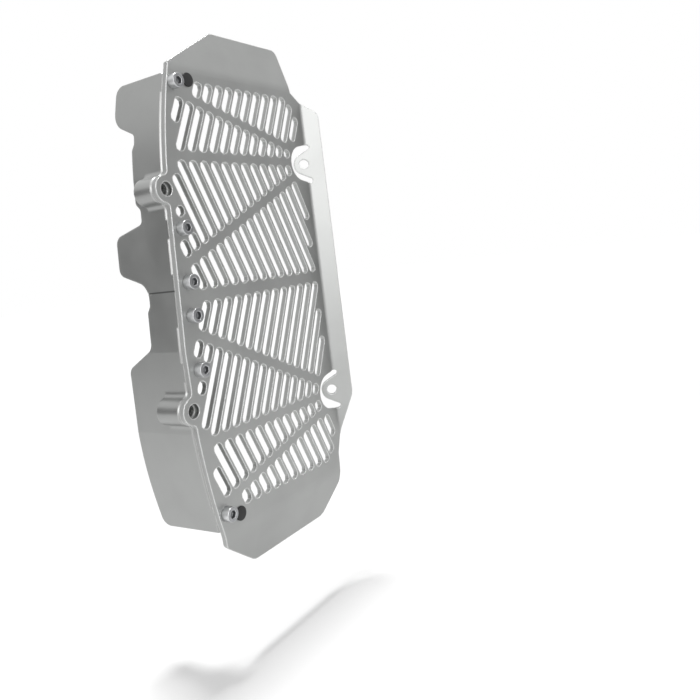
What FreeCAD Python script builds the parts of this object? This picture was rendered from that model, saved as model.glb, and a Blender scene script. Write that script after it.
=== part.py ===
import FreeCAD, Part
import math
import os

# Radiator guard for a motorcycle, left side: a folded aluminium sheet with a fan of slots,
# screwed to a side brace that is machined from one block. Lengths in millimetres.
# Drawing axes: X across the sheet, from the brace (low X) to the mounting flange (high X),
# Y back from the front face of the flat panel, Z up. X is 0 near the brace's third of the
# panel and Z is 0 near mid height. At the end every piece is moved so that the origin is
# the centre of the upper mount hole, on the tongue's front face.

V = FreeCAD.Vector

# --- sheet ---
T = 3.2                    # sheet thickness
X_FOLD = 91.85             # sharp corner of the front faces at the flange fold
FLANGE_TURN = 52.0         # how far the flange is bent forward, degrees
FLANGE_W = 12.0            # fold corner to the flange's outer edge
FLANGE_R = 2.5             # inside radius of the flange fold
Z_TOP_FOLD = 138.8         # fold line of the upper tab
Z_LOW_FOLD = -127.0        # fold line of the lower tab
TAB_TURN = 13.5            # how far both tabs are bent back, degrees
TAB_R = 18.0               # inside radius of the tab folds

# --- blank outline, as cut before folding ---
Z_TOP_EDGE = 167.1         # top edge of the upper tab
X_TOP_IN = 79.0            # its inner corner
X_TOP_OUT = 14.7           # its outer corner, where the long slant begins
TOP_SLANT = 30.5           # angle of that slant, degrees
X_SHOULDER = 82.2          # where the inner side meets the shoulder chamfer
Z_SHOULDER = 136.05
SHOULDER_FALL = 33.9       # angle of the shoulder chamfer, degrees
Z_FLANGE_LOW = -76.0       # lower end of the flange's straight outer edge
Z_FOLD_LOW = -101.8        # lower end of the flange fold
X_WAIST = 87.0             # below the flange
Z_WAIST = -114.8
X_HIP = 86.2               # upper end of the lower inner slant
Z_HIP = -134.5
X_LOW_IN = 67.5            # lower corners
X_LOW_OUT = -2.7
Z_LOW_EDGE = -152.3
LOW_SLANT = 35.8           # angle of the lower outer slant, degrees
CORNER_R = 8.0             # the larger tab corners
FOOT_R = 6.0               # where the lower slant meets the brace edge

# --- brace edge: outer edge of the sheet and outer face of the brace ---
EDGE_TOP = (-27.0, 147.5)
EDGE_TOP_MID = (-35.9, 109.8)
EDGE_UPPER = (-39.8, 78.0)
EDGE_WIDEST = (-42.6, -20.0)
EDGE_LOWER = (-40.8, -66.0)
EDGE_LOW_MID = (-35.4, -102.0)
EDGE_LOW = (-26.2, -139.5)

# --- mount tongues, in the plane of the flange ---
MOUNT_Z = (87.3, -71.5)    # hole heights
MOUNT_BACK = 2.15          # hole centre behind the fold corner, along the tongue
MOUNT_D = 6.6              # clearance hole for an M6 screw
TONGUE_R = 7.1             # tongue tip about the hole
TONGUE_HALF = 9.8          # half width of the tongue at the fold
WINDOW_R = 11.8            # window in the panel round the tongue
WINDOW_IN = 5.95           # window arc centre, inside of the fold corner
WINDOW_HALF = 13.35        # half height of the window at the fold
HORN_END = 0.95            # centre of the window's round ends, past the fold corner

# --- ears on the brace side ---
EARS = ((-41.5, 69.0), (-41.7, -52.7))
EAR_R = 7.7
EAR_HOLE_D = 8.0           # hole in the sheet
EAR_TAP_D = 6.4            # hole in the brace boss behind it
EAR_FILLET = 3.0

# --- grille ---
PITCH = 8.0                # from slot to slot, square to the slots
SLOT_W = 6.3
SLOT_R = 2.5               # corner radius of a slot
CORNER_FLATS = 2           # flats that stand for each slot corner, to keep the sheet light
LEAN = 25.0                # slots lean this much from upright, degrees
MIN_SIDE = 0.2             # a leftover whose short side keeps less straight than this is not cut
FOLD_MARGIN = 7.1          # slot tips to the fold corner
DIAG_MARGIN = (9.0, 7.6)   # slot tips to the shoulder and to the waist
MOUNT_CLEAR = 19.8         # slot tips to a mount hole
EAR_CLEAR = 9.9            # slot tips to an ear hole
SCREW_CLEAR = 7.0          # slot tips to a screw or a bumper
WIDE_MARGIN = 8.5          # slot tips to the brace edge in the outer bands
LONG_MARGIN = 6.7          # in the bands next to them
THIN_MARGIN = 5.6          # and in the bands beside the ears

# Ribs between the slot bands, from the top: height of the centre line at X = 0, width, slope.
RIB_Z = (117.2, 87.85, 42.7, 8.5, -27.0, -72.2, -101.6)
RIB_W = (4.6, 5.3, 5.3, 6.7, 5.6, 4.9, 4.6)
RIB_TURN = (-15.0, 0.0, 25.0, 0.0, -25.0, 0.0, 14.0)
Z_FIELD_TOP = 131.7        # slot ends along the top of the grille
Z_FIELD_LOW = -115.1       # and along its bottom, at X = 0
FIELD_LOW_TURN = -1.3      # slope of that line, degrees

# Bands from the top: lean (+1 to the flange going up), offset of one slot's centre line
# from the drawing origin, square to the slot, and margin at the brace edge.
BAND_LEAN = (1, 1, -1, -1, 1, 1, -1, -1)
BAND_START = (-61.46, -72.05, 9.56, -6.73, -13.17, 11.21, -49.28, -54.87)
BAND_MARGIN = (WIDE_MARGIN, LONG_MARGIN, THIN_MARGIN, WIDE_MARGIN,
               WIDE_MARGIN, THIN_MARGIN, LONG_MARGIN, WIDE_MARGIN)

# --- screws through the sheet into the brace: M5 socket head ---
SCREW_X = (-27.2, -33.9, -34.1, -34.3, -33.9, -26.8)
SCREW_Z = (129.4, 47.1, 17.1, -1.5, -31.7, -114.3)
SCREW_D = 5.0
SCREW_LEN = 16.0
HEAD_D = 8.5
HEAD_H = 5.0
SOCKET_AF = 4.0            # hexagon across flats
SOCKET_DEEP = 2.6
SCREW_PLAY = 0.5           # clearance hole in the sheet, over the screw
THREAD_PLAY = 0.1          # tapped hole in the brace, over the screw
TAP_EXTRA = 3.0            # tapped depth beyond the screw's end

# --- rubber bumpers pressed into the sheet ---
BUMPER_X = (-15.6, -15.8)
BUMPER_EDGE = (0.1, 2.2)   # rim of a bumper to the start of the tab's fold
BUMPER_D = 8.2
BUMPER_FRONT = 0.8         # height of the button on the front
BUMPER_BACK = 4.0          # pad height behind the sheet
BUMPER_STEM_D = 5.0
BUMPER_PLAY = 0.1

# --- side brace ---
WALL = 3.0                 # wall thickness
WALL_SHORT = (1.1, 0.2)    # ends of the wall short of the tabs' folds
DEPTH_TOP = 42.3           # rear edge of the upper lug, from the sheet's front face
DEPTH_NOTCH = (25.5, 24.0, 24.2)   # small notches, from the top
DEPTH_MID = (27.4, 26.5)   # plain parts of the rear edge, above and below the middle lug
DEPTH_LUG = 46.7           # middle lug
DEPTH_LOW = (47.0, 49.1, 47.7)     # long lower part: its start, its belly and its foot
Z_TOP_LUG = 112.0          # lower end of the upper lug
Z_NOTCH_1 = (103.6, 98.2)
Z_NOTCH_2 = (60.5, 52.6)
Z_LUG = (46.8, 25.2)       # middle lug
Z_NOTCH_3 = (17.2, 6.0)
Z_LOW_PART = (-18.2, -29.3, -88.0)  # end of the plain part, start and belly of the lower part
NOTCH_RUN = 3.5            # slope between a notch and the plain part
LUG_R = 5.5
TOP_LUG_R = 11.5           # lower corner of the upper lug
HOLLOW_R = 10.0            # hollow below the middle lug
BELLY_R = 400.0
NOTCH_R = 3.0
BOSS_R = 5.2               # screw bosses inside the brace
BOSS_BACK = 22.0           # rear end of the bosses, from the sheet's front face
EAR_BACK = (17.5, 20.8)    # rear ends of the ear bosses
BRACE_FILLET = 3.5         # ear boss to wall
BRACE_CHAMFER = 1.5        # along the outer front edge, next to the sheet
LINE_Z = 13.2              # fine tool line across the outer face
LINE_DEEP = 0.35
LINE_W = 0.6

# --- derived ---
SCREWS = tuple(zip(SCREW_X, SCREW_Z))
X_BEND = X_FOLD - FLANGE_R * math.tan(math.radians(FLANGE_TURN) / 2)
X_LEG = 2 * X_FOLD - X_BEND
TAB_REACH = (TAB_R + T) * math.tan(math.radians(TAB_TURN) / 2)
FAR = 400.0
Z_FLAT_TOP = Z_TOP_FOLD - TAB_REACH
Z_FLAT_LOW = Z_LOW_FOLD + TAB_REACH
Z_WALL_TOP = Z_FLAT_TOP - WALL_SHORT[0]
Z_WALL_LOW = Z_FLAT_LOW + WALL_SHORT[1]
BUMPERS = ((BUMPER_X[0], Z_FLAT_TOP - BUMPER_EDGE[0] - BUMPER_D / 2),
           (BUMPER_X[1], Z_FLAT_LOW + BUMPER_EDGE[1] + BUMPER_D / 2))


def rounded(corners, flats=0):
    """Closed face in the XZ plane from (x, z, radius) corners.

    Corners are arcs, or that many flats along the arc."""
    pts = [V(c[0], 0, c[1]) for c in corners]
    n = len(pts)
    halves, runs = [], []
    for i in range(n):
        a = (pts[i - 1] - pts[i]).normalize()
        b = (pts[(i + 1) % n] - pts[i]).normalize()
        halves.append(math.acos(max(-1.0, min(1.0, a.dot(b)))) / 2)
        round_it = corners[i][2] > 0 and math.cos(halves[i]) > 1e-6
        runs.append(corners[i][2] / math.tan(halves[i]) if round_it else 0)
    # where two arcs don't fit on the side between them, the longer one is limited by it
    full = list(runs)
    for i in range(n):
        j = (i + 1) % n
        over = runs[i] + runs[j] - pts[i].distanceToPoint(pts[j])
        if over > 0:
            longer = i if runs[i] > runs[j] else j
            runs[longer] = max(0, runs[longer] - over)
    ends = []
    for i in range(n):
        p, run, half = pts[i], runs[i], halves[i]
        if run < 1e-6:
            ends.append((p, None, p))
            continue
        a = (pts[i - 1] - p).normalize()
        b = (pts[(i + 1) % n] - p).normalize()
        r = corners[i][2] * run / full[i]
        mid = (a + b).normalize()
        ends.append((p + a * run, p + mid * (r / math.sin(half) - r), p + b * run))
    edges = []
    for i in range(n):
        start, middle, stop = ends[i]
        if middle is not None:
            arc = Part.Arc(start, middle, stop)
            if flats:
                along = arc.discretize(Number=flats + 1)
                edges += [Part.LineSegment(a, b).toShape() for a, b in zip(along, along[1:])]
            else:
                edges.append(arc.toShape())
        nxt = ends[(i + 1) % n][0]
        if stop.distanceToPoint(nxt) > 1e-6:
            edges.append(Part.LineSegment(stop, nxt).toShape())
    return Part.Face(Part.Wire(edges))


def slab(face, y0, y1):
    """The face, drawn at Y = 0, as a prism from y0 to y1."""
    moved = face.copy()
    moved.translate(V(0, y0, 0))
    return moved.extrude(V(0, y1 - y0, 0))


def rod(x, z, d, y0, y1):
    return Part.makeCylinder(d / 2, y1 - y0, V(x, y0, z), V(0, 1, 0))


def block(x0, x1, y0, y1, z0, z1):
    return Part.makeBox(x1 - x0, y1 - y0, z1 - z0, V(x0, y0, z0))


def fillet_at(solid, places, radius, reach=0.6):
    """Round the edges that run along Y through the given (x, z) places."""
    picked = []
    for e in solid.Edges:
        ends = [v.Point for v in e.Vertexes]
        if len(ends) != 2 or abs(ends[0].x - ends[1].x) + abs(ends[0].z - ends[1].z) > 1e-4:
            continue
        if any(math.hypot(ends[0].x - x, ends[0].z - z) < reach for x, z in places):
            picked.append(e)
    return solid.makeFillet(radius, picked) if picked else solid


def inside_edge():
    """Face of everything on the inner side of the brace edge."""
    pts = [V(p[0], 0, p[1]) for p in (EDGE_TOP, EDGE_TOP_MID, EDGE_UPPER, EDGE_WIDEST,
                                      EDGE_LOWER, EDGE_LOW_MID, EDGE_LOW)]
    far = [V(EDGE_LOW[0], 0, -FAR), V(FAR, 0, -FAR), V(FAR, 0, FAR), V(EDGE_TOP[0], 0, FAR)]
    edges = [Part.Arc(pts[0], pts[1], pts[2]).toShape(),
             Part.LineSegment(pts[2], pts[3]).toShape(),
             Part.LineSegment(pts[3], pts[4]).toShape(),
             Part.Arc(pts[4], pts[5], pts[6]).toShape(),
             Part.LineSegment(pts[6], far[0]).toShape()]
    for a, b in zip(far, far[1:] + [pts[0]]):
        edges.append(Part.LineSegment(a, b).toShape())
    return Part.Face(Part.Wire(edges))


def circles_meet_edge(x, z, r):
    """Where a circle about (x, z) crosses the brace edge, as (x, z) places."""
    ring = Part.Wire(Part.makeCircle(r, V(x, 0, z), V(0, 1, 0)))
    border = Part.Wire(inside_edge().OuterWire.Edges[:4])
    gap, pairs, info = ring.distToShape(border)
    return [(p[0].x, p[0].z) for p in pairs] if gap < 1e-6 else []


# ---------- front sheet ----------

def blank_outline():
    slant = math.tan(math.radians(TOP_SLANT))
    low = math.tan(math.radians(LOW_SLANT))
    fall = math.tan(math.radians(SHOULDER_FALL))
    x_edge = X_FOLD + FLANGE_W
    x_out = -80.0
    return rounded([
        (x_out, Z_TOP_EDGE - slant * (X_TOP_OUT - x_out), 0),
        (X_TOP_OUT, Z_TOP_EDGE, CORNER_R),
        (X_TOP_IN, Z_TOP_EDGE, CORNER_R * 0.6),
        (X_SHOULDER, Z_SHOULDER, 0),
        (x_edge, Z_SHOULDER - fall * (x_edge - X_SHOULDER), CORNER_R * 0.75),
        (x_edge, Z_FLANGE_LOW, CORNER_R * 1.6),
        (X_FOLD, Z_FOLD_LOW, 0),
        (X_WAIST, Z_WAIST, CORNER_R),
        (X_HIP, Z_HIP, CORNER_R * 0.75),
        (X_LOW_IN, Z_LOW_EDGE, CORNER_R * 1.25),
        (X_LOW_OUT, Z_LOW_EDGE, CORNER_R * 1.25),
        (x_out, Z_LOW_EDGE + low * (X_LOW_OUT - x_out), 0)])


def tongue(z):
    x = X_FOLD - MOUNT_BACK
    turn = math.acos(TONGUE_R / math.hypot(X_LEG - x, TONGUE_HALF))
    turn += math.atan2(TONGUE_HALF, X_LEG - x)
    tx = x + TONGUE_R * math.cos(turn)
    tz = TONGUE_R * math.sin(turn)
    flank = rounded([(X_LEG, z + TONGUE_HALF, 0), (X_LEG, z - TONGUE_HALF, 0),
                     (tx, z - tz, 0), (tx, z + tz, 0)])
    return slab(flank, 0, T).fuse(rod(x, z, 2 * TONGUE_R, 0, T)).removeSplitter()


def window(z):
    x = X_FOLD - WINDOW_IN
    x_end = X_FOLD + HORN_END
    turn = math.acos(WINDOW_R / math.hypot(x_end - x, WINDOW_HALF))
    turn += math.atan2(WINDOW_HALF, x_end - x)
    tx = x + WINDOW_R * math.cos(turn)
    tz = WINDOW_R * math.sin(turn)
    flare = rounded([(x_end, z + WINDOW_HALF, 0), (x_end, z - WINDOW_HALF, 0),
                     (tx, z - tz, 0), (tx, z + tz, 0)])
    return slab(flare, -1, T + 1).fuse(rod(x, z, 2 * WINDOW_R, -1, T + 1))


def horns(z):
    """The ends of a window that reach into the flange, past the fold."""
    r = (WINDOW_HALF - TONGUE_HALF) / 2
    x_end = X_FOLD + HORN_END
    cut = []
    for side in (1, -1):
        zc = z + side * (TONGUE_HALF + r)
        cut.append(block(x_end - WINDOW_IN, x_end, -1, T + 1, zc - r, zc + r))
        cut.append(rod(x_end, zc, 2 * r, -1, T + 1))
    return cut


def tip_field(margin):
    """Where slot tips may lie, as a thin solid about Y = 0."""
    field = inside_edge().makeOffset2D(-margin)
    solid = slab(field, -0.5, 0.5)
    solid = solid.common(block(-FAR, X_FOLD - FOLD_MARGIN, -1, 1, -FAR, FAR))
    fall = math.radians(SHOULDER_FALL)
    waist = math.atan2(Z_FOLD_LOW - Z_WAIST, X_FOLD - X_WAIST)
    for px, pz, nx, nz, keep in (
            (X_SHOULDER, Z_SHOULDER, math.sin(fall), math.cos(fall), DIAG_MARGIN[0]),
            (X_WAIST, Z_WAIST, math.sin(waist), -math.cos(waist), DIAG_MARGIN[1])):
        cut = Part.makeBox(FAR, 2, 2 * FAR, V(0, -1, -FAR))
        cut.rotate(V(0, 0, 0), V(0, 1, 0), -math.degrees(math.atan2(nz, nx)))
        cut.translate(V(px - keep * nx, 0, pz - keep * nz))
        solid = solid.cut(cut)
    discs = [rod(X_FOLD - MOUNT_BACK, z, 2 * MOUNT_CLEAR, -1, 1) for z in MOUNT_Z]
    discs += [rod(x, z, 2 * EAR_CLEAR, -1, 1) for x, z in EARS]
    discs += [rod(x, z, 2 * SCREW_CLEAR, -1, 1) for x, z in SCREWS + BUMPERS]
    return solid.cut(discs)


def slot(low, high, n, low_dir, high_dir):
    """One slot between two tips, whose ends run along their own directions, or None
    if a side is too short for its two corners."""
    half = SLOT_W / 2
    corners = [low + low_dir * (half / n.dot(low_dir)), low - low_dir * (half / n.dot(low_dir)),
               high - high_dir * (half / n.dot(high_dir)), high + high_dir * (half / n.dot(high_dir))]
    for a, b, side in ((0, 3, -1), (1, 2, 1)):
        along = (corners[b] - corners[a]).normalize()
        run = 0
        for way, d in ((along, low_dir), (along * -1, high_dir)):
            turn = math.acos(max(-1.0, min(1.0, way.dot(d) * side)))
            run += SLOT_R / math.tan(turn / 2)
        if (corners[b] - corners[a]).dot(V(-n.z, 0, n.x)) < run + MIN_SIDE:
            return None
    return slab(rounded([(p.x, p.z, SLOT_R) for p in corners], CORNER_FLATS), -1, T + 1)


def rib_sides(side):
    """Edge lines of the ribs: height at X = 0 and slope. side +1 gives the upper edges."""
    return [(z + side * width / 2 / math.cos(math.radians(slope)), slope)
            for z, width, slope in zip(RIB_Z, RIB_W, RIB_TURN)]


def slot_band(index, low_line, high_line, field):
    lean = math.radians(LEAN) * BAND_LEAN[index]
    d = V(math.sin(lean), 0, math.cos(lean))
    n = V(math.cos(lean), 0, -math.sin(lean))
    reach = []
    for z0, slope in (low_line, high_line):
        reach.append((z0, math.tan(math.radians(slope)),
                      V(math.cos(math.radians(slope)), 0, math.sin(math.radians(slope)))))
    slots = []
    for k in range(-30, 31):
        base = n * (BAND_START[index] + k * PITCH)
        t = [(z0 + m * base.x - base.z) / (d.z - m * d.x) for z0, m, way in reach]
        if t[1] - t[0] < SLOT_R:
            continue
        line = Part.LineSegment(base + d * t[0], base + d * t[1]).toShape()
        for piece in line.common(field).Edges:
            at_t = sorted((v.Point - base).dot(d) for v in piece.Vertexes)
            low_dir = reach[0][2] if at_t[0] - t[0] < 1e-4 else n
            high_dir = reach[1][2] if t[1] - at_t[1] < 1e-4 else n
            slots.append(slot(base + d * at_t[0], base + d * at_t[1], n, low_dir, high_dir))
    return [s for s in slots if s]


def grille():
    tops = [(Z_FIELD_TOP, 0.0)] + rib_sides(-1)
    lows = rib_sides(1) + [(Z_FIELD_LOW, FIELD_LOW_TURN)]
    fields = {m: tip_field(m) for m in set(BAND_MARGIN)}
    slots = []
    for i in range(8):
        row = slot_band(i, lows[i], tops[i], fields[BAND_MARGIN[i]])
        print("band", i + 1, "slots", len(row))
        slots += row
    return slots


def bend_zone(first, last, pivot, axis, turn):
    """Solid round a fold, between the end faces of the two flat parts.

    first is the rectangle (a0, a1) on the panel's side and last the one on the leg's side,
    before folding; the section is swung about the pivot in equal steps."""
    steps = 6
    wires = []
    for i in range(steps + 1):
        f = i / steps
        w = Part.makePolygon([a + (b - a) * f for a, b in zip(first, last)] +
                             [first[0] + (last[0] - first[0]) * f])
        w.rotate(pivot, axis, turn * f)
        wires.append(w)
    return Part.makeLoft(wires, True, False)


def end_span(solid, axis, value):
    """Extent of the flat faces of a solid that lie at axis = value."""
    box = FreeCAD.BoundBox()
    for f in solid.Faces:
        b = f.BoundBox
        lo, hi = (b.XMin, b.XMax) if axis == "x" else (b.ZMin, b.ZMax)
        if abs(lo - value) < 1e-4 and abs(hi - value) < 1e-4:
            box.add(b)
    return (box.ZMin, box.ZMax) if axis == "x" else (box.XMin, box.XMax)


def front_plate():
    blank = slab(inside_edge().common(blank_outline()), 0, T)
    lobes = [rod(x, z, 2 * EAR_R, 0, T) for x, z in EARS]
    blank = blank.fuse(lobes).removeSplitter()
    places = [p for x, z in EARS for p in circles_meet_edge(x, z, EAR_R)]
    blank = fillet_at(blank, places, EAR_FILLET)
    foot = [(v.X, v.Z) for v in blank.Vertexes if v.X < EDGE_LOW[0] / 2 and v.Z < Z_LOW_FOLD - T]
    blank = fillet_at(blank, foot, FOOT_R)

    z_top, z_low = Z_FLAT_TOP, Z_FLAT_LOW
    panel = blank.common(block(-FAR, X_BEND, -1, T + 1, z_low, z_top))
    leg = blank.common(block(X_LEG, FAR, -1, T + 1, -FAR, FAR))
    top = blank.common(block(-FAR, FAR, -1, T + 1, Z_TOP_FOLD + TAB_REACH, FAR))
    low = blank.common(block(-FAR, FAR, -1, T + 1, -FAR, Z_LOW_FOLD - TAB_REACH))

    # fold zones, each between the two end faces that it joins
    a0, a1 = end_span(panel, "x", X_BEND)
    b0, b1 = end_span(leg, "x", X_LEG)
    rects = []
    for lo, hi in ((a0, a1), (b0, b1)):
        rects.append([V(X_BEND, 0, lo), V(X_BEND, T, lo), V(X_BEND, T, hi), V(X_BEND, 0, hi)])
    zones = [bend_zone(rects[0], rects[1], V(X_BEND, -FLANGE_R, 0), V(0, 0, -1), FLANGE_TURN)]
    for part, z_end, leg_z, side in ((top, z_top, Z_TOP_FOLD + TAB_REACH, 1),
                                     (low, z_low, Z_LOW_FOLD - TAB_REACH, -1)):
        rects = []
        for lo, hi in (end_span(panel, "z", z_end), end_span(part, "z", leg_z)):
            rects.append([V(lo, 0, z_end), V(lo, T, z_end), V(hi, T, z_end), V(hi, 0, z_end)])
        zones.append(bend_zone(rects[0], rects[1], V(0, T + TAB_R, z_end),
                               V(-side, 0, 0), TAB_TURN))

    # windows, tongues and slots
    gaps = [block(X_BEND - 1, X_LEG + T, -FLANGE_R - T, T + 1, z - WINDOW_HALF, z + WINDOW_HALF)
            for z in MOUNT_Z]
    zones[0] = zones[0].cut(gaps)
    holes = [rod(x, z, EAR_HOLE_D, -1, T + 1) for x, z in EARS]
    holes += [rod(x, z, SCREW_D + SCREW_PLAY, -1, T + 1) for x, z in SCREWS]
    holes += [rod(x, z, BUMPER_STEM_D + BUMPER_PLAY, -1, T + 1) for x, z in BUMPERS]
    panel = panel.cut([window(z) for z in MOUNT_Z] + holes + grille())
    for z in MOUNT_Z:
        leg = leg.cut(horns(z))
        leg = leg.fuse(tongue(z))
        leg = leg.cut(rod(X_FOLD - MOUNT_BACK, z, MOUNT_D, -1, T + 1))

    leg.rotate(V(X_FOLD, 0, 0), V(0, 0, -1), FLANGE_TURN)
    top.rotate(V(0, 0, Z_TOP_FOLD), V(-1, 0, 0), TAB_TURN)
    low.rotate(V(0, 0, Z_LOW_FOLD), V(1, 0, 0), TAB_TURN)
    return panel.fuse([leg, top, low] + zones).removeSplitter()


# ---------- side brace ----------

def rear_profile():
    """Side view of the brace, drawn as (depth, height), turned to the YZ plane."""
    run = NOTCH_RUN
    shape = rounded([
        (T, Z_WALL_TOP, 0), (DEPTH_TOP, Z_WALL_TOP, LUG_R), (DEPTH_TOP, Z_TOP_LUG, TOP_LUG_R),
        (DEPTH_NOTCH[0], Z_NOTCH_1[0], NOTCH_R), (DEPTH_NOTCH[0], Z_NOTCH_1[1], NOTCH_R),
        (DEPTH_MID[0], Z_NOTCH_1[1] - run, NOTCH_R), (DEPTH_MID[0], Z_NOTCH_2[0] + run, NOTCH_R),
        (DEPTH_NOTCH[1], Z_NOTCH_2[0], NOTCH_R), (DEPTH_NOTCH[1], Z_NOTCH_2[1], NOTCH_R),
        (DEPTH_LUG, Z_LUG[0], LUG_R), (DEPTH_LUG, Z_LUG[1], LUG_R),
        (DEPTH_NOTCH[2], Z_NOTCH_3[0], HOLLOW_R), (DEPTH_NOTCH[2], Z_NOTCH_3[1], NOTCH_R),
        (DEPTH_MID[1], Z_NOTCH_3[1] - run, NOTCH_R), (DEPTH_MID[1], Z_LOW_PART[0], LUG_R),
        (DEPTH_LOW[0], Z_LOW_PART[1], LUG_R), (DEPTH_LOW[1], Z_LOW_PART[2], BELLY_R),
        (DEPTH_LOW[2], Z_WALL_LOW, LUG_R), (T, Z_WALL_LOW, 0)])
    shape.rotate(V(0, 0, 0), V(0, 0, 1), 90)
    shape.translate(V(-FAR / 2, 0, 0))
    return shape.extrude(V(FAR, 0, 0))


def outer_front_edges(solid, half):
    """Edges of the brace's front face along its outer outline, without the two ends."""
    inside = slab(half.makeOffset2D(-WALL / 2), T - 1, T + 1)
    edges = []
    for e in solid.Edges:
        b = e.BoundBox
        middle = e.valueAt((e.FirstParameter + e.LastParameter) / 2)
        ends = (Z_WALL_TOP, Z_WALL_LOW)
        flat = abs(b.YMin - T) < 1e-4 and abs(b.YMax - T) < 1e-4
        if flat and not inside.isInside(middle, 1e-4, True) \
                and min(abs(middle.z - z) for z in ends) > 1e-3:
            edges.append(e)
    return edges


def side_brace():
    half = inside_edge()
    deep = max(DEPTH_LOW) + 1
    wall = slab(half, T, deep).cut(slab(half.makeOffset2D(-WALL), 0, deep + 1))
    wall = wall.common(rear_profile())
    bosses = []
    for (x, z), back in zip(EARS, EAR_BACK):
        post = rod(x, z, 2 * EAR_R, T, back)
        near = slab(half, T, back).common(block(-FAR, 0, 0, deep, z - 3 * EAR_R, z + 3 * EAR_R))
        blend = fillet_at(near.fuse(post).removeSplitter(), circles_meet_edge(x, z, EAR_R),
                          BRACE_FILLET)
        bosses += [post, blend.cut(slab(half, T, back))]
    wall = wall.fuse(bosses).removeSplitter()
    wall = wall.makeChamfer(BRACE_CHAMFER, outer_front_edges(wall, half))
    line = block(-FAR, 0, T + BRACE_CHAMFER, deep, LINE_Z - LINE_W / 2, LINE_Z + LINE_W / 2)
    wall = wall.cut(line.cut(slab(half.makeOffset2D(-LINE_DEEP), 0, deep + 1)))

    # screw bosses: a round post with a web out to the wall; screws 3 and 4 share one
    core = slab(half, T, BOSS_BACK)
    posts = []
    for x, z in SCREWS:
        web = block(x - FAR / 8, x, T, BOSS_BACK, z - BOSS_R, z + BOSS_R)
        posts.append(web.fuse(rod(x, z, 2 * BOSS_R, T, BOSS_BACK)).common(core))
    x_pair = min(SCREWS[2][0], SCREWS[3][0])
    pair = block(x_pair - FAR / 8, x_pair + BOSS_R, T, BOSS_BACK, SCREWS[3][1], SCREWS[2][1])
    posts.append(pair.common(core))
    limit = rear_profile()
    wall = wall.fuse([p.common(limit) for p in posts]).removeSplitter()

    holes = [rod(x, z, SCREW_D + THREAD_PLAY, T - 1, SCREW_LEN + TAP_EXTRA) for x, z in SCREWS]
    holes += [rod(x, z, EAR_TAP_D, T - 1, back + 1) for (x, z), back in zip(EARS, EAR_BACK)]
    return wall.cut(holes)


# ---------- screws and bumpers ----------

def screw(x, z):
    head = rod(x, z, HEAD_D, -HEAD_H, 0)
    r = SOCKET_AF / 2 / math.cos(math.radians(30))
    hexagon = [V(x + r * math.cos(math.radians(60 * i)), -HEAD_H,
                 z + r * math.sin(math.radians(60 * i))) for i in range(7)]
    socket = Part.Face(Part.makePolygon(hexagon)).extrude(V(0, SOCKET_DEEP, 0))
    shank = rod(x, z, SCREW_D, 0, SCREW_LEN)
    return head.fuse(shank).cut(socket).removeSplitter()


def bumper(x, z):
    front = rod(x, z, BUMPER_D, -BUMPER_FRONT, 0)
    stem = rod(x, z, BUMPER_STEM_D, 0, T)
    pad = rod(x, z, BUMPER_D, T, T + BUMPER_BACK)
    return front.fuse([stem, pad]).removeSplitter()


def main():
    turn = math.radians(FLANGE_TURN)
    home = V(X_FOLD - MOUNT_BACK * math.cos(turn), MOUNT_BACK * math.sin(turn), MOUNT_Z[0])
    nodes = {"front_plate": front_plate(), "side_brace": side_brace()}
    for i, (x, z) in enumerate(SCREWS, 1):
        nodes["screw_%d" % i] = screw(x, z)
    nodes["bumper_top"] = bumper(*BUMPERS[0])
    nodes["bumper_bottom"] = bumper(*BUMPERS[1])
    os.makedirs("parts", exist_ok=True)
    for name, shape in nodes.items():
        shape = shape.copy()
        shape.translate(home * -1)
        print(name, "solids", len(shape.Solids), "valid", shape.isValid(),
              "volume", round(shape.Volume, 1))
        shape.exportStep("parts/%s.step" % name)
    print("origin in drawing axes", home)


main()
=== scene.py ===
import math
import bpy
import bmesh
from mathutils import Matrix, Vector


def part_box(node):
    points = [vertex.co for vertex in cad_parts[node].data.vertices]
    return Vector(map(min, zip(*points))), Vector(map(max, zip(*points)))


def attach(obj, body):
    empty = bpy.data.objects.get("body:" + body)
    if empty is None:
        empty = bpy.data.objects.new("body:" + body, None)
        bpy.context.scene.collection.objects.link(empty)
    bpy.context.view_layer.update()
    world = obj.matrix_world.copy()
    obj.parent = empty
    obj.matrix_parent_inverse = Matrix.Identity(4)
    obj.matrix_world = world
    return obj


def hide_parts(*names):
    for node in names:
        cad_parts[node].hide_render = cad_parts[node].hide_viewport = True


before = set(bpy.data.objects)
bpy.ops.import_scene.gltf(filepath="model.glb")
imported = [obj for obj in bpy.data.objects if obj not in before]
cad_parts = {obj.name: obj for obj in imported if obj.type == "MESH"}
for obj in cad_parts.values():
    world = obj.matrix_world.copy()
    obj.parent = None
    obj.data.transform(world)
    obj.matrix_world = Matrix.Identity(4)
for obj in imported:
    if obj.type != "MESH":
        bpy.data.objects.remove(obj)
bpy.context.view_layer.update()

# %% [markdown]
# # A radiator guard for a motorcycle
# The guard is a folded aluminium sheet with a fan of slots, screwed to a side brace that is
# milled from one block. The solids come in at their real size and place, so this lesson is
# about finish: how a satin sheet, a milled block, plain screws and black rubber each catch
# the light. Everything is in metres, with the origin at the upper mount hole.

MM = 0.001


def srgb(code):
    """Turn a hex colour, as read off a screen, into the linear one that Blender mixes."""
    parts = [int(code[i:i + 2], 16) / 255 for i in (1, 3, 5)]
    return tuple(c / 12.92 if c <= 0.04045 else ((c + 0.055) / 1.055) ** 2.4
                 for c in parts) + (1.0,)


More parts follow.
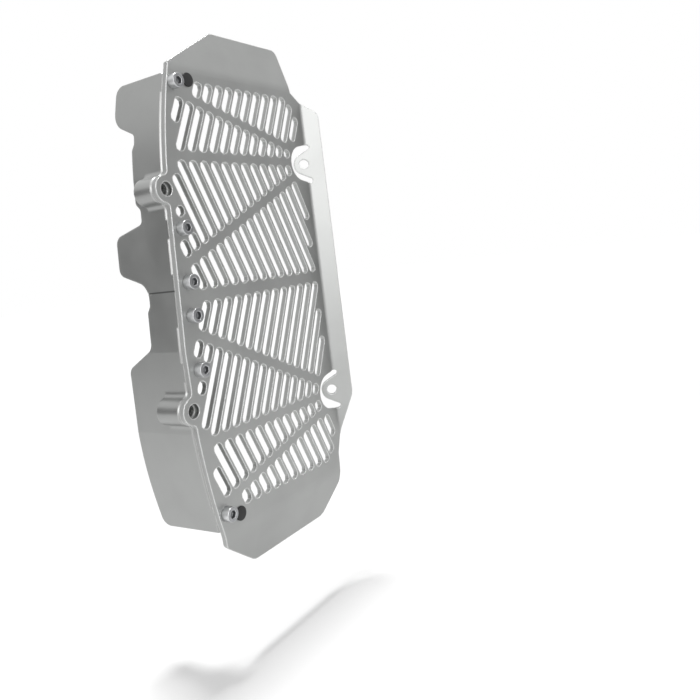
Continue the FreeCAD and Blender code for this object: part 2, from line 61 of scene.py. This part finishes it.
def add(tree, kind, settings=None, **links):
    """Add a node, set its options and values, and join its inputs."""
    node = tree.nodes.new(kind)
    for name, value in (settings or {}).items():
        if name in node.inputs:
            node.inputs[name].default_value = value
        else:
            setattr(node, name, value)
    for name, source in links.items():
        name = name.replace("_", " ")
        target = node.inputs[int(name[1:])] if name[1:].isdigit() else node.inputs[name]
        tree.links.new(source, target)
    return node


def new_material(name):
    """Make a material, and return it with its nodes and its shader."""
    material = bpy.data.materials.new(name)
    material.use_nodes = True
    tree = material.node_tree
    return material, tree, tree.nodes["Principled BSDF"]


# %% [markdown]
# ## Where the camera stands
# The photograph looks at the guard from its brace side, about 57 degrees round from straight
# ahead and level with the upper part. The camera's place and its three axes were solved from
# the slots and holes, so they are set as a matrix and not by turning angles. The picture's
# centre of view sits above its middle, so the camera looks level and its frame is shifted.

# %% Camera
CAMERA_AT = Vector((-0.40565, -0.29033, -0.06336))
CAMERA_RIGHT = Vector((0.5370, -0.8345, -0.1235))
CAMERA_UP = Vector((0.0673, -0.1036, 0.9923))
FOCAL_PX = 711.98
PICTURE_PX = 700
VIEW_LIFT_PX = 100         # how far the centre of view sits above the picture's middle
SENSOR = 36.0
camera_data = bpy.data.cameras.new("camera")
camera = bpy.data.objects.new("camera", camera_data)
bpy.context.scene.collection.objects.link(camera)
right = CAMERA_RIGHT.normalized()
back = right.cross(CAMERA_UP).normalized()
up = back.cross(right)
stand = Matrix((right, up, back)).transposed().to_4x4()
camera.matrix_world = Matrix.Translation(CAMERA_AT) @ stand
camera_data.sensor_width = SENSOR
camera_data.lens = SENSOR * FOCAL_PX / PICTURE_PX
camera_data.shift_y = -VIEW_LIFT_PX / PICTURE_PX
camera_data.clip_start = 0.01
bpy.context.scene.camera = camera
print("lens", round(camera_data.lens, 2), "mm, looking along", [round(v, 3) for v in -back])

# %% [markdown]
# ## Tumbled aluminium sheet
# The front plate is aluminium sheet, cut by laser, folded, and tumbled with stones until it has
# an even satin. Satin metal is a metallic surface with middling roughness: it shows its room only
# as soft light and dark. Two things break the evenness. The laser leaves the cut walls of the
# slots brighter than the faces, with fine lines through the thickness. Tumbling rounds the edges,
# the shading rounds them too, and their brightness is a painted highlight in their colour. Cut
# walls are told from faces by their normal, and edges by comparing a rounded normal with the true
# one, which costs no faces.

# %% Colours and grain of bare aluminium
FACE_DARK, FACE_LIGHT = "#9FA09F", "#A7A8A7"     # satin face, as the clouds go
CUT_HEX = "#C8C9C8"        # laser-cut wall
EDGE_HIGHLIGHT_HEX = "#F6F7F6"       # painted highlight along the edges
CUT_ROUGH = 0.6
CUT_SPREAD = 0.85          # the laser's lines spread a reflection across them
CUT_FROM, CUT_FULL = 0.45, 0.25      # how far forward a normal points where cut walls begin
EDGE_RADIUS = 1.0 * MM     # how wide an edge is rounded in the shading, and how wide its painted highlight is
EDGE_FROM, EDGE_FULL = 0.99, 0.87    # cosine between the rounded and the true normal
GRAIN = 0.9 * MM           # real grain is too fine to show here, so it is drawn coarser
GRAIN_DEPTH = 0.03 * MM
CLOUD = 30 * MM            # patches where the stones rubbed more
CLOUD_LOW, CLOUD_HIGH = 0.3, 0.7     # most of a noise lies between these


def edge_mask(tree, radius):
    """1 on an edge and 0 on a flat, from how far a rounded normal leaves the true one."""
    soft = add(tree, "ShaderNodeBevel", {"samples": 4, "Radius": radius})
    true = add(tree, "ShaderNodeNewGeometry")
    same = add(tree, "ShaderNodeVectorMath", {"operation": "DOT_PRODUCT"},
               i0=soft.outputs["Normal"], i1=true.outputs["True Normal"])
    mask = add(tree, "ShaderNodeMapRange", {"From Min": EDGE_FROM, "From Max": EDGE_FULL},
               Value=same.outputs["Value"])
    return mask.outputs["Result"], soft.outputs["Normal"], true.outputs["True Normal"]


def colour_mix(tree, factor, first, second):
    """Blend two colours, each a hex code or a socket."""
    node = add(tree, "ShaderNodeMix", {"data_type": "RGBA"}, i0=factor)
    for socket, colour in ((node.inputs[6], first), (node.inputs[7], second)):
        if isinstance(colour, str):
            socket.default_value = srgb(colour)
        else:
            tree.links.new(colour, socket)
    return node.outputs[2]


def satin(tree, shader, roughness, spread, stretch, strength, normal):
    """Give the shader cloudy roughness and a fine relief, in the piece's own millimetres.

    Returns the cloudy face colour and the roughness, for what comes on top of them.
    """
    place = add(tree, "ShaderNodeTexCoord").outputs["Object"]
    cloud = add(tree, "ShaderNodeTexNoise", {"Scale": 1 / CLOUD, "Detail": 3.0}, Vector=place)
    rough = add(tree, "ShaderNodeMapRange",
                {"From Min": CLOUD_LOW, "From Max": CLOUD_HIGH,
                 "To Min": roughness - spread, "To Max": roughness + spread},
                Value=cloud.outputs["Fac"])
    tone = add(tree, "ShaderNodeMapRange", {"From Min": CLOUD_LOW, "From Max": CLOUD_HIGH},
               Value=cloud.outputs["Fac"])
    face = colour_mix(tree, tone.outputs["Result"], FACE_DARK, FACE_LIGHT)
    tree.links.new(rough.outputs["Result"], shader.inputs["Roughness"])
    along = add(tree, "ShaderNodeMapping", {"Scale": stretch}, Vector=place)
    grain = add(tree, "ShaderNodeTexNoise", {"Scale": 1 / GRAIN, "Detail": 3.0},
                Vector=along.outputs["Vector"])
    relief = add(tree, "ShaderNodeBump", {"Strength": strength, "Distance": GRAIN_DEPTH},
                 Height=grain.outputs["Fac"], Normal=normal)
    tree.links.new(relief.outputs["Normal"], shader.inputs["Normal"])
    shader.inputs["Metallic"].default_value = 1.0
    return face, rough.outputs["Result"]


# %% Material: tumbled, laser-cut sheet
sheet_finish, tree, shader = new_material("tumbled aluminium sheet")
highlight_mask, rounded, true = edge_mask(tree, EDGE_RADIUS)
axes = add(tree, "ShaderNodeSeparateXYZ", Vector=true)
facing = add(tree, "ShaderNodeMath", {"operation": "ABSOLUTE"}, i0=axes.outputs["Y"])
cut = add(tree, "ShaderNodeMapRange", {"From Min": CUT_FROM, "From Max": CUT_FULL},
          Value=facing.outputs["Value"]).outputs["Result"]
face, rough = satin(tree, shader, roughness=0.42, spread=0.03, stretch=(1, 1, 1),
                    strength=0.25, normal=rounded)
walled = colour_mix(tree, cut, face, CUT_HEX)
# the edges get a painted highlight, mixed into the colour
tree.links.new(colour_mix(tree, highlight_mask, walled, EDGE_HIGHLIGHT_HEX), shader.inputs["Base Color"])
spread = add(tree, "ShaderNodeMapRange", {"To Max": CUT_SPREAD}, Value=cut)
tree.links.new(spread.outputs["Result"], shader.inputs["Anisotropic"])
across = add(tree, "ShaderNodeVectorMath", {"operation": "CROSS_PRODUCT"}, i0=true)
across.inputs[1].default_value = (0, 1, 0)
tree.links.new(across.outputs["Vector"], shader.inputs["Tangent"])
dull = add(tree, "ShaderNodeMix", {"data_type": "FLOAT"}, i0=cut, i2=rough)
dull.inputs[3].default_value = CUT_ROUGH
tree.links.new(dull.outputs[0], shader.inputs["Roughness"])
print("sheet finish:", len(tree.nodes), "nodes")

# %% [markdown]
# ## Milled side brace
# The brace is milled from a solid block and tumbled with the sheet, so the colour is the same.
# The cutter went round it, so its faint lines run across the height. The grain is therefore
# stretched front to back. Where two passes meet, the solid has a fine groove. Its shade is
# painted: the material darkens the wall in a thin line at the groove's height.

# %% Material: milled block
TOOL_LINE_Z = -74.1 * MM
TOOL_LINE_W = 0.6 * MM        # from the line's middle to where its soft rim ends
# painted shade of the groove
GROOVE_SHADE_HEX = "#6B6C6B"
BLOCK_EDGE_HIGHLIGHT_HEX = "#C2C3C2"    # painted highlight along the block's edges, less bright than the sheet's
billet_finish, tree, shader = new_material("milled aluminium block")
highlight_mask, rounded = edge_mask(tree, EDGE_RADIUS)[:2]
face = satin(tree, shader, roughness=0.40, spread=0.04, stretch=(1, 0.1, 1),
             strength=0.4, normal=rounded)[0]
# painted highlight along the edges
face = colour_mix(tree, highlight_mask, face, BLOCK_EDGE_HIGHLIGHT_HEX)
place = add(tree, "ShaderNodeTexCoord").outputs["Object"]
height = add(tree, "ShaderNodeSeparateXYZ", Vector=place).outputs["Z"]
away = add(tree, "ShaderNodeMath", {"operation": "SUBTRACT"}, i0=height)
away.inputs[1].default_value = TOOL_LINE_Z
away = add(tree, "ShaderNodeMath", {"operation": "ABSOLUTE"}, i0=away.outputs["Value"])
# painted shade of the groove: a thin dark line at its height
groove_shade = add(tree, "ShaderNodeMapRange", {"From Min": TOOL_LINE_W, "From Max": TOOL_LINE_W / 2},
           Value=away.outputs["Value"])
face = colour_mix(tree, groove_shade.outputs["Result"], face, GROOVE_SHADE_HEX)
tree.links.new(face, shader.inputs["Base Color"])
print("block finish:", len(tree.nodes), "nodes")

# %% [markdown]
# ## Stainless screws
# The heads are turned, so fine rings run round them. Rings spread a highlight along the
# screw's axis, which is why each head shows one bright streak on its side. A wave texture
# across the axis makes the rings, drawn at 0.5 mm, because real ones of 0.1 mm would not show.

# %% Material: turned stainless steel
# The flat ends get painted shade, darker than the turned side.
HEAD_HEX, END_SHADE_HEX, RIM_HIGHLIGHT_HEX = "#CFD0D1", "#9A9B9D", "#F0F0F0"
END_FROM, END_FULL = 0.8, 0.95       # how far forward a normal points where flat ends begin
RIM_RADIUS = 0.2 * MM
RING_PITCH = 0.5 * MM
RING_DEPTH = 0.08 * MM
WAVE = 0.314               # a wave texture of scale 1 repeats every 0.314 m
screw_finish, tree, shader = new_material("turned stainless steel")
highlight_mask, rounded, true = edge_mask(tree, RIM_RADIUS)
place = add(tree, "ShaderNodeTexCoord").outputs["Object"]
rings = add(tree, "ShaderNodeTexWave",
            {"wave_type": "BANDS", "bands_direction": "Y", "Scale": WAVE / RING_PITCH,
             "Distortion": 0.6, "Detail": 1.0}, Vector=place)
relief = add(tree, "ShaderNodeBump", {"Strength": 0.5, "Distance": RING_DEPTH},
             Height=rings.outputs["Fac"], Normal=rounded)
tree.links.new(relief.outputs["Normal"], shader.inputs["Normal"])
axes = add(tree, "ShaderNodeSeparateXYZ", Vector=true)
facing = add(tree, "ShaderNodeMath", {"operation": "ABSOLUTE"}, i0=axes.outputs["Y"])
end_shade = add(tree, "ShaderNodeMapRange", {"From Min": END_FROM, "From Max": END_FULL},
          Value=facing.outputs["Value"]).outputs["Result"]
# painted shade: the flat ends are darker than the turned side
turned = colour_mix(tree, end_shade, HEAD_HEX, END_SHADE_HEX)
# painted highlight on the rounded rim
tree.links.new(colour_mix(tree, highlight_mask, turned, RIM_HIGHLIGHT_HEX), shader.inputs["Base Color"])
shader.inputs["Metallic"].default_value = 1.0
shader.inputs["Roughness"].default_value = 0.28
print("screw finish:", len(tree.nodes), "nodes")

# %% Material: inside of the socket, with painted shade, darker than the turned outside
SOCKET_SHADE_HEX = "#8C8D8F"
socket_shade_finish, tree, shader = new_material("socket with painted shade")
shader.inputs["Base Color"].default_value = srgb(SOCKET_SHADE_HEX)
shader.inputs["Metallic"].default_value = 1.0
shader.inputs["Roughness"].default_value = 0.35
print("socket finish:", len(tree.nodes), "nodes")

# %% [markdown]
# ## Black rubber bumpers
# Two nitrile bumpers keep the radiator off the sheet. Rubber is not a metal, so its colour is
# nearly black and its shine comes from the surface alone. A fine mottle in the roughness is
# the bloom that rubber shows after moulding.

# %% Material: moulded nitrile rubber
RUBBER_HEX = "#1B1B1C"
MOTTLE = 0.8 * MM
MOTTLE_DEPTH = 0.05 * MM
SHINY, BLOOMED = 0.45, 0.7           # roughness without the bloom and with it
rubber_finish, tree, shader = new_material("moulded nitrile rubber")
place = add(tree, "ShaderNodeTexCoord").outputs["Object"]
mottle = add(tree, "ShaderNodeTexNoise", {"Scale": 1 / MOTTLE, "Detail": 3.0}, Vector=place)
bloom = add(tree, "ShaderNodeMapRange", {"To Min": SHINY, "To Max": BLOOMED},
            Value=mottle.outputs["Fac"])
tree.links.new(bloom.outputs["Result"], shader.inputs["Roughness"])
relief = add(tree, "ShaderNodeBump", {"Strength": 0.2, "Distance": MOTTLE_DEPTH},
             Height=mottle.outputs["Fac"])
tree.links.new(relief.outputs["Normal"], shader.inputs["Normal"])
shader.inputs["Base Color"].default_value = srgb(RUBBER_HEX)
print("rubber finish:", len(tree.nodes), "nodes")

# %% Give each solid its finish
for name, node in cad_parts.items():
    if name == "front_plate":
        finish = sheet_finish
    elif name == "side_brace":
        finish = billet_finish
    elif name.startswith("screw"):
        finish = screw_finish
    else:
        finish = rubber_finish
    for slot in node.material_slots:
        slot.material = finish
print("finishes on", len(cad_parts), "solids")

# %% [markdown]
# ## Socket head screws
# A plain cylinder reads as a peg. A real head has a rounded rim, a hexagon socket with a small
# lead-in, and a shank below it. The head starts as a cylinder, the shank is extruded from its
# back, the socket is cut with a six-sided prism, and a bevel rounds what the lathe would. One
# screw is made on the origin and copied, each copy turned by its own angle, because nobody
# lines up the sockets of six screws.

# %% Helpers for modelling by hand
HEAD_D = 8.5 * MM
HEAD_H = 5.0 * MM
SHANK_D = 5.0 * MM
SHANK_L = 16.0 * MM
SOCKET_AF = 4.0 * MM
SOCKET_DEEP = 2.6 * MM
SIDES = 48
QUARTER = math.pi / 2
SAME = 1e-7                # depths nearer to each other than this are one


def start(name, adder, **settings):
    """Add a primitive with nothing else selected, and apply its turn and place."""
    bpy.ops.object.select_all(action="DESELECT")
    adder(**settings)
    piece = bpy.context.object
    piece.name = name
    bpy.ops.object.transform_apply(location=True, rotation=True, scale=True)
    return piece


def pick_end(piece, y):
    """In edit mode, select the end face that lies at this depth."""
    bpy.ops.mesh.select_mode(type="FACE")
    bpy.ops.mesh.select_all(action="DESELECT")
    net = bmesh.from_edit_mesh(piece.data)
    for face in net.faces:
        level = face.calc_center_median().y
        if abs(level - y) < SAME and len(face.verts) == SIDES:
            face.select_set(True)
    net.select_flush_mode()
    bmesh.update_edit_mesh(piece.data)


def push(distance):
    """Extrude what is selected along the axis of the screw or bumper."""
    bpy.ops.mesh.extrude_region_move(TRANSFORM_OT_translate={"value": (0, distance, 0)})


def apply_all(piece):
    """Turn the piece's modifiers into plain mesh."""
    bpy.ops.object.select_all(action="DESELECT")
    piece.select_set(True)
    bpy.context.view_layer.objects.active = piece
    for modifier in list(piece.modifiers):
        bpy.ops.object.modifier_apply(modifier=modifier.name)


def soften(piece, width, steps, angle=35):
    """Round the sharp edges, then smooth all but what is left sharp."""
    bevel = piece.modifiers.new("round", "BEVEL")
    bevel.width = width
    bevel.segments = steps
    bevel.limit_method = "ANGLE"
    bevel.angle_limit = math.radians(angle)
    apply_all(piece)
    bpy.ops.object.shade_smooth_by_angle(angle=math.radians(angle))


def place_copy(pattern, name, x, y, z, turn):
    """Copy the pattern, turn the copy about its own axis and set it in its place."""
    piece = pattern.copy()
    piece.data = pattern.data.copy()
    piece.name = name
    piece.data.name = name
    bpy.context.scene.collection.objects.link(piece)
    turned = Matrix.Rotation(math.radians(turn), 4, "Y")
    piece.data.transform(Matrix.Translation((x, y, z)) @ turned)
    return piece


# %% One screw on the origin, its seat at depth 0
RIM_ROUND = 0.35 * MM
SOCKET_REACH = 0.55 * SOCKET_AF      # the socket's faces have their middles nearer the axis
pattern = start("screw pattern", bpy.ops.mesh.primitive_cylinder_add, vertices=SIDES,
                radius=HEAD_D / 2, depth=HEAD_H, location=(0, -HEAD_H / 2, 0),
                rotation=(QUARTER, 0, 0))
bpy.ops.object.mode_set(mode="EDIT")
pick_end(pattern, 0)
bpy.ops.mesh.inset(thickness=(HEAD_D - SHANK_D) / 2)
push(SHANK_L)
bpy.ops.object.mode_set(mode="OBJECT")
cutter = start("socket cutter", bpy.ops.mesh.primitive_cylinder_add, vertices=6,
               radius=SOCKET_AF / 2 / math.cos(math.pi / 6), depth=2 * SOCKET_DEEP,
               location=(0, -HEAD_H, 0), rotation=(QUARTER, 0, 0))
hole = pattern.modifiers.new("socket", "BOOLEAN")
hole.operation = "DIFFERENCE"
hole.solver = "EXACT"
hole.object = cutter
apply_all(pattern)
bpy.data.objects.remove(cutter)
pattern.data.materials.append(screw_finish)
pattern.data.materials.append(socket_shade_finish)
# the socket's faces take the darker finish: painted shade in the recess
for face in pattern.data.polygons:
    x, y, z = face.center
    inside = math.hypot(x, z) < SOCKET_REACH and -HEAD_H + SAME < y < 0
    face.material_index = 1 if inside else 0
soften(pattern, RIM_ROUND, 3)
print("screw:", len(pattern.data.polygons), "faces")

# %% Six screws, each with its socket turned its own way
SOCKET_TURNS = (8, 37, 22, 51, 3, 29)
for i, turn in enumerate(SOCKET_TURNS, 1):
    low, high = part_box("screw_%d" % i)
    piece = place_copy(pattern, "screw_head_%d" % i, (low[0] + high[0]) / 2, low[1] + HEAD_H,
                       (low[2] + high[2]) / 2, turn)
    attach(piece, "root")
    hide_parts("screw_%d" % i)
bpy.data.objects.remove(pattern)
print(len(SOCKET_TURNS), "screws in place")

# %% [markdown]
# ## Bumpers
# A bumper is pushed through its hole: a low button in front, a waist in the hole and a pad
# behind. It is extruded in that order from a cylinder, so it stays one closed skin, and a
# generous bevel gives the soft lips that moulded rubber has.

# %% Two bumpers
BUTTON_H = 0.8 * MM
WAIST_D = 5.0 * MM
SHEET = 3.2 * MM
LIP_ROUND = 0.3 * MM
for node, name in (("bumper_top", "rubber_top"), ("bumper_bottom", "rubber_bottom")):
    low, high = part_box(node)
    wide = high[0] - low[0]
    piece = start(name, bpy.ops.mesh.primitive_cylinder_add, vertices=SIDES,
                  radius=wide / 2, depth=BUTTON_H, location=(0, -BUTTON_H / 2, 0),
                  rotation=(QUARTER, 0, 0))
    bpy.ops.object.mode_set(mode="EDIT")
    pick_end(piece, 0)
    bpy.ops.mesh.inset(thickness=(wide - WAIST_D) / 2)
    push(SHEET)
    push(0)
    bpy.ops.transform.resize(value=(wide / WAIST_D, 1, wide / WAIST_D),
                             center_override=(0, SHEET, 0))
    push(high[1] - low[1] - BUTTON_H - SHEET)
    bpy.ops.object.mode_set(mode="OBJECT")
    soften(piece, LIP_ROUND, 3)
    piece.data.transform(Matrix.Translation(((low[0] + high[0]) / 2, low[1] + BUTTON_H,
                                             (low[2] + high[2]) / 2)))
    piece.data.materials.append(rubber_finish)
    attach(piece, "root")
    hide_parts(node)
    print(name, len(piece.data.polygons), "faces")

# %% [markdown]
# ## Threads in the two ears
# The bosses behind the ears are tapped, and the thread glints inside the holes. A triangle is
# set on the wall of the hole and swept along a screw line. Its base is buried in the metal, so
# only the crest of the thread shows.

# %% Two threads
EAR_AT = ((-132.03, -18.3), (-132.23, -140.0))     # middle of each tapped hole, in mm
EAR_DEPTH = ((1.9, 15.4), (1.9, 18.7))     # where its thread may start and end, in mm
HOLE_R = 3.2 * MM
THREAD_PITCH = 1.0 * MM
THREAD_STEPS = 32
CREST = 0.34 * MM          # from the triangle's middle to its tip
SUNK = 0.05 * MM           # how far behind the wall the triangle's middle lies
THREADS = ("thread_upper", "thread_lower")
for name, (x, z), (front, rear) in zip(THREADS, EAR_AT, EAR_DEPTH):
    piece = start(name, bpy.ops.mesh.primitive_circle_add, vertices=3, radius=CREST,
                  rotation=(0, 0, QUARTER))
    piece.data.transform(Matrix.Translation((HOLE_R + SUNK, 0, 0)))
    sweep = piece.modifiers.new("thread", "SCREW")
    sweep.axis = "Y"
    sweep.screw_offset = THREAD_PITCH
    sweep.iterations = int((rear - front) * MM / THREAD_PITCH)
    sweep.steps = sweep.render_steps = THREAD_STEPS
    apply_all(piece)
    bpy.ops.object.mode_set(mode="EDIT")
    bpy.ops.mesh.select_all(action="SELECT")
    bpy.ops.mesh.fill_holes(sides=3)
    bpy.ops.mesh.select_all(action="SELECT")
    bpy.ops.mesh.normals_make_consistent(inside=False)
    bpy.ops.object.mode_set(mode="OBJECT")
    piece.data.transform(Matrix.Translation((x * MM, front * MM, z * MM)))
    piece.data.materials.append(billet_finish)
    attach(piece, "root")
    depths = [v.co.y / MM for v in piece.data.vertices]
    print(name, "from", round(min(depths), 1), "to", round(max(depths), 1), "mm")

# %% [markdown]
# ## Floor, page and cards
# The photograph is a white page with one faint shadow under the guard. The page is the world's
# own colour where a camera or mirror ray meets it, and the floor shows the same white wherever
# the object's shadow doesn't dim it. Satin metal looks only as good as what it reflects, so
# two grey cards stand round the guard, as a photographer would set them. The darker one, behind
# on the left, darkens the middle of the brace. The paler one, in front on the right, is what the
# whole front plate reflects. The camera doesn't see them.

# %% Rays that meet the page
def page_rays(tree):
    """1 for the rays that should meet the white page: camera, mirror and glass rays."""
    ray = add(tree, "ShaderNodeLightPath")
    seen = add(tree, "ShaderNodeMath", {"operation": "ADD"}, i0=ray.outputs["Is Camera Ray"],
               i1=ray.outputs["Is Glossy Ray"])
    seen = add(tree, "ShaderNodeMath", {"operation": "ADD", "use_clamp": True},
               i0=seen.outputs["Value"], i1=ray.outputs["Is Transmission Ray"])
    return seen.outputs["Value"]


# %% Floor
FLOOR_Z = -0.292
FLOOR_SIZE = 12
PAPER_HEX = "#D9D9D9"
FLOOR_GLOW = 0.20          # share of the page's white that no shadow takes away
NEAR, FAR = 0.45, 0.9      # between these the lamps' light fades out and the glow takes over
floor = start("floor", bpy.ops.mesh.primitive_plane_add, size=FLOOR_SIZE,
              location=(0, 0, FLOOR_Z))
floor_finish, tree, shader = new_material("white studio paper")
shader.inputs["Roughness"].default_value = 0.9
place = add(tree, "ShaderNodeTexCoord").outputs["Object"]
reach = add(tree, "ShaderNodeVectorMath", {"operation": "LENGTH"}, i0=place)
far = add(tree, "ShaderNodeMapRange", {"From Min": NEAR, "From Max": FAR},
          Value=reach.outputs["Value"]).outputs["Result"]
tree.links.new(colour_mix(tree, far, PAPER_HEX, "#000000"), shader.inputs["Base Color"])
share = add(tree, "ShaderNodeMapRange", {"To Min": FLOOR_GLOW, "To Max": 1.0}, Value=far)
glow = add(tree, "ShaderNodeMath", {"operation": "MULTIPLY"}, i0=page_rays(tree),
           i1=share.outputs["Result"])
shader.inputs["Emission Color"].default_value = srgb("#FFFFFF")
tree.links.new(glow.outputs["Value"], shader.inputs["Emission Strength"])
floor.data.materials.append(floor_finish)
print("floor at", FLOOR_Z, "m")

# %% Grey cards
def facing_target(at, target):
    """The turn of a card or lamp at this place that makes it face its target."""
    return (Vector(target) - Vector(at)).to_track_quat("-Z", "Y")


def card(name, at, target, wide, high, hex_code):
    """Stand a flat card that only reflections show."""
    piece = start(name, bpy.ops.mesh.primitive_plane_add, size=1)
    finish, _, shader = new_material(name)
    shader.inputs["Base Color"].default_value = srgb(hex_code)
    shader.inputs["Roughness"].default_value = 1.0
    turn = facing_target(at, target).to_matrix().to_4x4()
    size = Matrix.Diagonal((wide, high, 1, 1))
    piece.data.transform(Matrix.Translation(at) @ turn @ size)
    piece.data.materials.append(finish)
    piece.visible_camera = False
    piece.visible_shadow = False
    print(name, "of", wide, "by", high, "m")


card("dark card", at=(-0.95, 0.85, -0.07), target=(-0.13, 0.02, -0.07),
     wide=0.8, high=0.9, hex_code="#989898")
card("mid grey card", at=(0.75, -0.95, -0.07), target=(-0.05, 0.0, -0.07),
     wide=1.0, high=1.0, hex_code="#E6E6E6")

# %% World
FILL = 0.5                 # what lights the paper and the rubber from all round
world = bpy.data.worlds.new("studio")
bpy.context.scene.world = world
world.use_nodes = True
tree = world.node_tree
tree.nodes.clear()
fill = add(tree, "ShaderNodeBackground", {"Color": srgb("#FFFFFF"), "Strength": FILL})
page = add(tree, "ShaderNodeBackground", {"Color": srgb("#FFFFFF"), "Strength": 1.0})
both = add(tree, "ShaderNodeMixShader", i0=page_rays(tree), i1=fill.outputs[0],
           i2=page.outputs[0])
add(tree, "ShaderNodeOutputWorld", Surface=both.outputs[0])
print("world:", len(tree.nodes), "nodes")

# %% [markdown]
# ## Lamps
# The flange faces the camera and is nearly white at its top. So the main lamp is a tall soft
# rectangle behind and above the camera: the satin flange mirrors it, and less and less of it
# lower down. A second, smaller lamp overhead brightens what faces up and casts the one faint
# shadow.

# %% Two soft lamps
def softbox(name, at, target, size, watts):
    """Hang a rectangular lamp that faces its target."""
    data = bpy.data.lights.new(name, "AREA")
    data.shape = "RECTANGLE"
    data.size, data.size_y = size
    data.energy = watts
    lamp = bpy.data.objects.new(name, data)
    bpy.context.scene.collection.objects.link(lamp)
    lamp.location = at
    lamp.rotation_euler = facing_target(at, target).to_euler()
    print(name, watts, "W")


softbox("key softbox", at=(-1.0, -0.86, 0.30), target=(0.0, 0.0, -0.05),
        size=(0.5, 0.8), watts=5.2)
softbox("ceiling softbox", at=(-0.05, 0.05, 1.3), target=(-0.06, 0.02, -0.1),
        size=(0.24, 0.24), watts=19)

# %% Finish
bpy.context.scene.view_settings.view_transform = "Standard"
